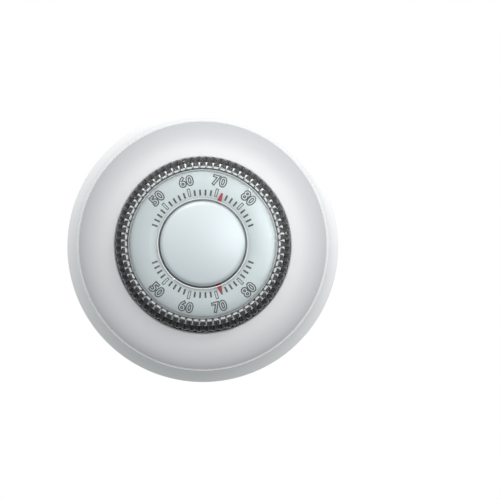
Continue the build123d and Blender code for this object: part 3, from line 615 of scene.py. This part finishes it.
dish = {
    "hole": 3.8,
    "face": 32.4,
    "flat": 12.4,
    "corner": 21.7,
    "crest": 0.6,
    "radius": 22.4,
    "edge": ((22.0, 0.17), (22.25, 0.42), (22.4, 0.75)),     # radius, and the drop from the face
    "insideEdge": 1.0,           # where the skirt's inside ends, under the face
    "underEnd": 21.4,            # radius where the back of the raised ring ends
    "paintedShadeBelow": 31.7,          # depth of the skirt's top; behind it the skirt is painted black as painted shade
    "paintedHighlightFrom": 21.85,           # radius where the painted highlight, a pale line on the rounded edge, starts
    "wall": 0.6,
    "rim": 14.2,
    "cuts": 30,                  # across the raised ring
    "steps": 240,
}


def dishDepth(radius):
    # Depth of the scale's front at a radius in mm: a circular arc over the raised ring.
    half = (dish["corner"] - dish["flat"]) / 2
    middle = dish["flat"] + half
    if abs(radius - middle) >= half:
        return dish["face"]
    arc = (half ** 2 + dish["crest"] ** 2) / (2 * dish["crest"])
    return dish["face"] + dish["crest"] - arc + sqrt(arc ** 2 - (radius - middle) ** 2)


def makeScaleDish():
    d = dish
    span = d["corner"] - d["flat"]
    radii = [d["flat"] + span * s / d["cuts"] for s in range(d["cuts"] + 1)]
    crest = [(radius, dishDepth(radius)) for radius in radii]
    edge = [(radius, d["face"] - drop) for radius, drop in d["edge"]]
    inner = d["radius"] - d["wall"]
    skirt = [(d["radius"], d["rim"]), (inner, d["rim"]), (inner, d["face"] - d["insideEdge"])]
    under = [(radius, depth - d["wall"]) for radius, depth in crest[::-1] if radius < d["underEnd"]]
    profile = [(d["hole"], d["face"]), *crest, *edge, *skirt, *under, (d["hole"], d["face"] - d["wall"])]
    shape = spinLoop(profile, d["steps"])
    # Painted shade on the skirt, a painted highlight on the rounded edge.
    for face in shape.faces:
        middle = face.calc_center_median()
        if -middle.y < d["paintedShadeBelow"] * mm:
            face.material_index = 1
        elif hypot(middle.x, middle.z) > d["paintedHighlightFrom"] * mm:
            face.material_index = 2
    piece = finishPiece(
        "scaleDish", shape, finishes["satin_silver"], "base", ["scale_cup"], sharp=40
    )
    piece.data.materials.append(paintedShadeBlack)      # painted shade: the skirt under the face is painted black
    piece.data.materials.append(paintedHighlightWhite)       # and its rounded edge has a painted highlight, a pale line
    return piece


makeScaleDish()


marks = {
    "low": 42, "high": 88, "middle": 65, "degreesPer": 3.0,
    "tick": (14.6, 16.25, 0.56),        # inner radius, outer radius, width
    "box": (14.7, 17.05, 0.9, 0.24),    # and the line's own width
    "numeral": (19.3, 3.5, 4.55),       # middle radius, height and width of two digits
    "bolder": 0.16,                     # how far the digits' outlines are pushed apart
    "line": 0.21,                       # half the numerals' line
    "typeSize": 1.3,                    # the font's size for a height of 1
    "spacing": 1.12,
    "longest": 0.6,                     # longer strokes are cut, to follow the raised ring
    "lift": 0.03,
    "numeralLift": 0.012,
    "flatten": 0.25,                    # of the fine tube that a numeral's line is made as
    "rows": 5,                          # quads along a printed bar
}


def dialPlace(radius, angle):
    return Vector((
        radius * sin(radians(angle)) * mm,
        -(dishDepth(radius) + marks["lift"]) * mm,
        radius * cos(radians(angle)) * mm,
    ))


def addStripe(shape, inner, outer, width, angle, flip):
    # A thin printed bar along a radius. It is a grid of quads that lies on the raised ring.
    made = bmesh.ops.create_grid(shape, x_segments=1, y_segments=marks["rows"], size=0.5)["verts"]
    for vert in made:
        radius = inner + (outer - inner) * (vert.co.y + 0.5)
        across = vert.co.x * width
        turn = angle + degrees(across / radius)
        vert.co = dialPlace(radius, turn if not flip else 180 - turn)


def makeTicks():
    m = marks
    shape = bmesh.new()
    for flip in (False, True):
        for value in range(m["low"], m["high"] + 1, 2):
            angle = (value - m["middle"]) * m["degreesPer"]
            if value % 10:
                addStripe(shape, *m["tick"], angle, flip)
                continue
            inner, outer, width, line = m["box"]
            for side in (-1, 1):
                shift = degrees(side * (width - line) / 2 / ((inner + outer) / 2))
                addStripe(shape, inner, outer, line, angle + shift, flip)
            for end in (inner, outer - line):
                addStripe(shape, end, end + line, width - line, angle, flip)
    skirt = bmesh.ops.extrude_face_region(shape, geom=shape.faces)["geom"]
    moved = [item for item in skirt if isinstance(item, bmesh.types.BMVert)]
    bmesh.ops.translate(shape, verts=moved, vec=(0, marks["lift"] * mm, 0))
    return finishPiece("scaleTicks", shape, scaleInk, "base")


makeTicks()


def shapeNumeral(value):
    # The outline of two digits as a fine tube, flat on the XY plane, in mm.
    words = bpy.data.curves.new("numeral", "FONT")
    words.body = str(value)
    words.align_x, words.align_y = "CENTER", "CENTER"
    words.size = marks["numeral"][1] * marks["typeSize"]
    words.fill_mode = "NONE"
    words.offset = marks["bolder"]
    words.space_character = marks["spacing"]
    words.bevel_depth = marks["line"]
    words.bevel_resolution = 0
    words.resolution_u = 5
    sign = bpy.data.objects.new("numeral", words)
    scene.collection.objects.link(sign)
    bpy.context.view_layer.update()
    outline = bpy.data.meshes.new_from_object(sign.evaluated_get(bpy.context.evaluated_depsgraph_get()))
    bpy.data.objects.remove(sign)
    shape = bmesh.new()
    shape.from_mesh(outline)
    bpy.data.meshes.remove(outline)
    for cut in range(3):
        long = [edge for edge in shape.edges if edge.calc_length() > marks["longest"]]
        if long:
            bmesh.ops.subdivide_edges(shape, edges=long, cuts=1)
    return shape


def makeNumerals():
    m = marks
    middle, height, width = m["numeral"]
    whole = bmesh.new()
    for flip in (False, True):
        for value in (50, 60, 70, 80):
            shape = shapeNumeral(value)
            lows = [min(v.co[k] for v in shape.verts) for k in (0, 1)]
            highs = [max(v.co[k] for v in shape.verts) for k in (0, 1)]
            angle = (value - m["middle"]) * m["degreesPer"]
            for vert in shape.verts:
                across = ((vert.co.x - lows[0]) / (highs[0] - lows[0]) - 0.5) * width
                up = ((vert.co.y - lows[1]) / (highs[1] - lows[1]) - 0.5) * height
                x, z = across, middle + up if not flip else -middle + up
                turn = radians(angle if not flip else -angle)
                spun = (x * cos(turn) + z * sin(turn), z * cos(turn) - x * sin(turn))
                depth = dishDepth(hypot(*spun)) + m["numeralLift"] + vert.co.z * m["flatten"]
                vert.co = (spun[0] * mm, -depth * mm, spun[1] * mm)
            part = bpy.data.meshes.new("numeral")
            shape.to_mesh(part)
            shape.free()
            whole.from_mesh(part)
            bpy.data.meshes.remove(part)
    bmesh.ops.remove_doubles(whole, verts=whole.verts, dist=1e-8)
    return finishPiece("scaleNumerals", whole, scaleInk, "base")


makeNumerals()


cap = {
    "radius": 12.7,
    "crown": 38.1,
    "roundStart": (11.4, 36.85),
    "roundEnd": 35.8,
    "back": 35.4,
    "inside": 36.1,
    "shell": 0.5,
    "domeCuts": 20,
    "edgeCuts": 8,
    "steps": 192,
}


def makeCap():
    c = cap
    reach, drop = c["roundStart"][0], c["crown"] - c["roundStart"][1]
    arc = (reach ** 2 + drop ** 2) / (2 * drop)
    radii = [reach * s / c["domeCuts"] for s in range(c["domeCuts"] + 1)]
    dome = [(radius, c["crown"] - arc + sqrt(arc ** 2 - radius ** 2)) for radius in radii]
    # the rounded edge leaves the crown at the crown's own slope
    slope = asin(reach / arc)
    across, down = c["radius"] - reach, c["roundStart"][1] - c["roundEnd"]
    turn = 2 * (atan2(down, across) - slope)
    small = hypot(across, down) / (2 * sin(turn / 2))
    middle = (reach - small * sin(slope), c["roundStart"][1] - small * cos(slope))
    leans = [slope + turn * s / c["edgeCuts"] for s in range(1, c["edgeCuts"] + 1)]
    rounded = [(middle[0] + small * sin(lean), middle[1] + small * cos(lean)) for lean in leans]
    inner = c["radius"] - c["shell"]
    shell = [(c["radius"], c["back"]), (inner, c["back"]), (inner, c["inside"]), (0, c["inside"])]
    profile = dome + rounded + shell
    shape = spinLoop(profile, c["steps"])
    axis = [edge for edge in shape.edges if not edge.link_faces]
    bmesh.ops.delete(shape, geom=axis, context="EDGES")
    return finishPiece(
        "capDisc", shape, finishes["cap_silver"], "base", ["centre_cap"], sharp=50
    )


makeCap()


leaf = {
    "node": "lever_spring",
    "spans": 12,                 # it is cut across into these
}


def makeLeaf():
    # The leaf keeps its CAD shape and is cut across, from its root to its tip.
    low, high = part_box(leaf["node"])
    shape = bmesh.new()
    shape.from_mesh(nodes[leaf["node"]].data)
    bmesh.ops.remove_doubles(shape, verts=shape.verts, dist=1e-6)
    root, tip = Vector((low.x, low.y, high.z)), Vector((high.x, low.y, low.z))
    for step in range(1, leaf["spans"]):
        bmesh.ops.bisect_plane(
            shape, geom=[*shape.verts, *shape.edges, *shape.faces],
            plane_co=root.lerp(tip, step / leaf["spans"]), plane_no=tip - root, dist=1e-7,
        )
    piece = finishPiece(
        "leverLeaf", shape, finishes["spring_steel"], None, [leaf["node"]], sharp=30
    )
    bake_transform(piece)
    return piece


makeLeaf()
print("stage: pieces made")


camera = {
    "distance": 1.2,
    "elevation": -1.4,           # degrees; the camera looks very slightly up
    "spread": 0.1525,            # what the frame's width takes in at the wall
    "shift": (0.0944, -0.0068),
    "sensor": 36,
    "clip": (0.01, 20),
}


def placeCamera():
    data = bpy.data.cameras.new("camera")
    data.sensor_width = camera["sensor"]
    data.lens = data.sensor_width * camera["distance"] / camera["spread"]
    data.shift_x, data.shift_y = camera["shift"]
    data.clip_start, data.clip_end = camera["clip"]
    eye = bpy.data.objects.new("camera", data)
    tilt = radians(camera["elevation"])
    back = Vector((0, -cos(tilt), sin(tilt)))
    eye.location = back * camera["distance"]
    eye.rotation_euler = (-back).to_track_quat("-Z", "Y").to_euler()
    scene.collection.objects.link(eye)
    scene.camera = eye


lamps = {
    # place, what it points at, power in watts, cone in degrees or width and height in metres
    "spotKey": {
        "place": (0.25, -0.95, 0.32), "aim": (0.020, -0.018, 0.020), "power": 7.0, "cone": 6.8,
        "blend": 1.0, "radius": 0.012,
    },
    "rightStrip": {"place": (0.85, -0.42, 0.12), "aim": (0, -0.03, 0), "power": 0.5, "size": (0.9, 0.035)},
    "topStrip": {"place": (-0.20, -0.42, 0.85), "aim": (0, -0.03, 0), "power": 0.5, "size": (0.9, 0.035)},
    "frontBox": {"place": (0.44, -1.05, 0.12), "aim": (0, -0.02, 0), "power": 0.6, "size": (0.42, 0.5)},
}


def aimLamp(name, data, spec):
    lamp = bpy.data.objects.new(name, data)
    lamp.location = spec["place"]
    sight = Vector(spec["place"]) - Vector(spec["aim"])
    turned = sight.to_track_quat("Z", "Y")
    if "Strip" in name:                          # a strip lies along the dial's axis
        across = Vector((0, 1, 0)).cross(sight).normalized()
        along = across.cross(sight).normalized()
        out = sight.normalized()
        turned = Matrix((along, out.cross(along), out)).transposed().to_quaternion()
        lamp.visible_diffuse = False             # and only makes highlights
    lamp.rotation_euler = turned.to_euler()
    scene.collection.objects.link(lamp)
    lamp.visible_camera = False
    lamp.visible_glossy = "size" in spec         # the spot only shades, it makes no highlight


def placeLamps():
    for name, spec in lamps.items():
        if "cone" in spec:
            data = bpy.data.lights.new(name, "SPOT")
            data.spot_size = radians(spec["cone"])
            data.spot_blend = spec["blend"]
            data.shadow_soft_size = spec["radius"]
        else:
            data = bpy.data.lights.new(name, "AREA")
            data.shape = "RECTANGLE"
            data.size, data.size_y = spec["size"]
        data.energy = spec["power"]
        aimLamp(name, data, spec)


studio = {
    "toward": (0.22, -0.38, 0.88),       # where the soft light is strongest
    "middle": 0.80,
    "swing": 0.60,
    "dim": (0.93, 0.975, 1.0),           # tint of the darker side and of the brighter one
    "bright": (1.0, 1.0, 1.0),
}


def makeStudio():
    # A white room that is brighter above than below. The camera sees plain white.
    world = bpy.data.worlds.new("studio")
    world.use_nodes = True
    tree = world.node_tree
    tree.nodes.clear()
    place = addNode(tree, "ShaderNodeTexCoord")
    toward = addNode(tree, "ShaderNodeVectorMath", operation="DOT_PRODUCT")
    toward.inputs[1].default_value = Vector(studio["toward"]).normalized()
    tree.links.new(place.outputs["Generated"], toward.inputs[0])
    level = addNode(tree, "ShaderNodeMath", operation="MULTIPLY_ADD")
    level.inputs[1].default_value = studio["swing"]
    level.inputs[2].default_value = studio["middle"]
    tree.links.new(toward.outputs["Value"], level.inputs[0])
    share = addNode(tree, "ShaderNodeMath", operation="MULTIPLY_ADD")
    share.inputs[1].default_value = share.inputs[2].default_value = 0.5
    tree.links.new(toward.outputs["Value"], share.inputs[0])
    tint = addNode(tree, "ShaderNodeMix", data_type="RGBA")
    tint.inputs["A"].default_value = (*studio["dim"], 1)
    tint.inputs["B"].default_value = (*studio["bright"], 1)
    tree.links.new(share.outputs[0], tint.inputs["Factor"])
    room = addNode(tree, "ShaderNodeBackground")
    tree.links.new(tint.outputs["Result"], room.inputs["Color"])
    tree.links.new(level.outputs[0], room.inputs["Strength"])
    seen = addNode(tree, "ShaderNodeBackground")
    seen.inputs["Color"].default_value = (1, 1, 1, 1)
    path = addNode(tree, "ShaderNodeLightPath")
    either = addNode(tree, "ShaderNodeMixShader")
    tree.links.new(path.outputs["Is Camera Ray"], either.inputs[0])
    tree.links.new(room.outputs[0], either.inputs[1])
    tree.links.new(seen.outputs[0], either.inputs[2])
    output = addNode(tree, "ShaderNodeOutputWorld")
    tree.links.new(either.outputs[0], output.inputs[0])
    scene.world = world


ground = {
    "half": 0.45,                # half its side in metres
    "height": -0.16,
}


def makeFloor():
    mesh = bpy.data.meshes.new("floor")
    shape = bmesh.new()
    bmesh.ops.create_grid(shape, x_segments=1, y_segments=1, size=ground["half"])
    bmesh.ops.translate(shape, verts=shape.verts, vec=(0, 0, ground["height"]))
    shape.to_mesh(mesh)
    shape.free()
    floor = bpy.data.objects.new("floor", mesh)
    scene.collection.objects.link(floor)
    mesh.materials.append(makeMaterial(
        "floorPaper", "mouldedSkin", (0.9, 0.9, 0.9), (0.92, 0.92, 0.92),
        {"Pebble": 300, "Depth": 0.02, "Gloss": 0.8, "Drift": 0.02},
    ))
    for ray in ("diffuse", "glossy", "transmission"):
        setattr(floor, "visible_" + ray, False)      # it is seen but lights nothing


placeCamera()
placeLamps()
makeStudio()
makeFloor()
scene.view_settings.view_transform = "Standard"
print("stage: camera and light")
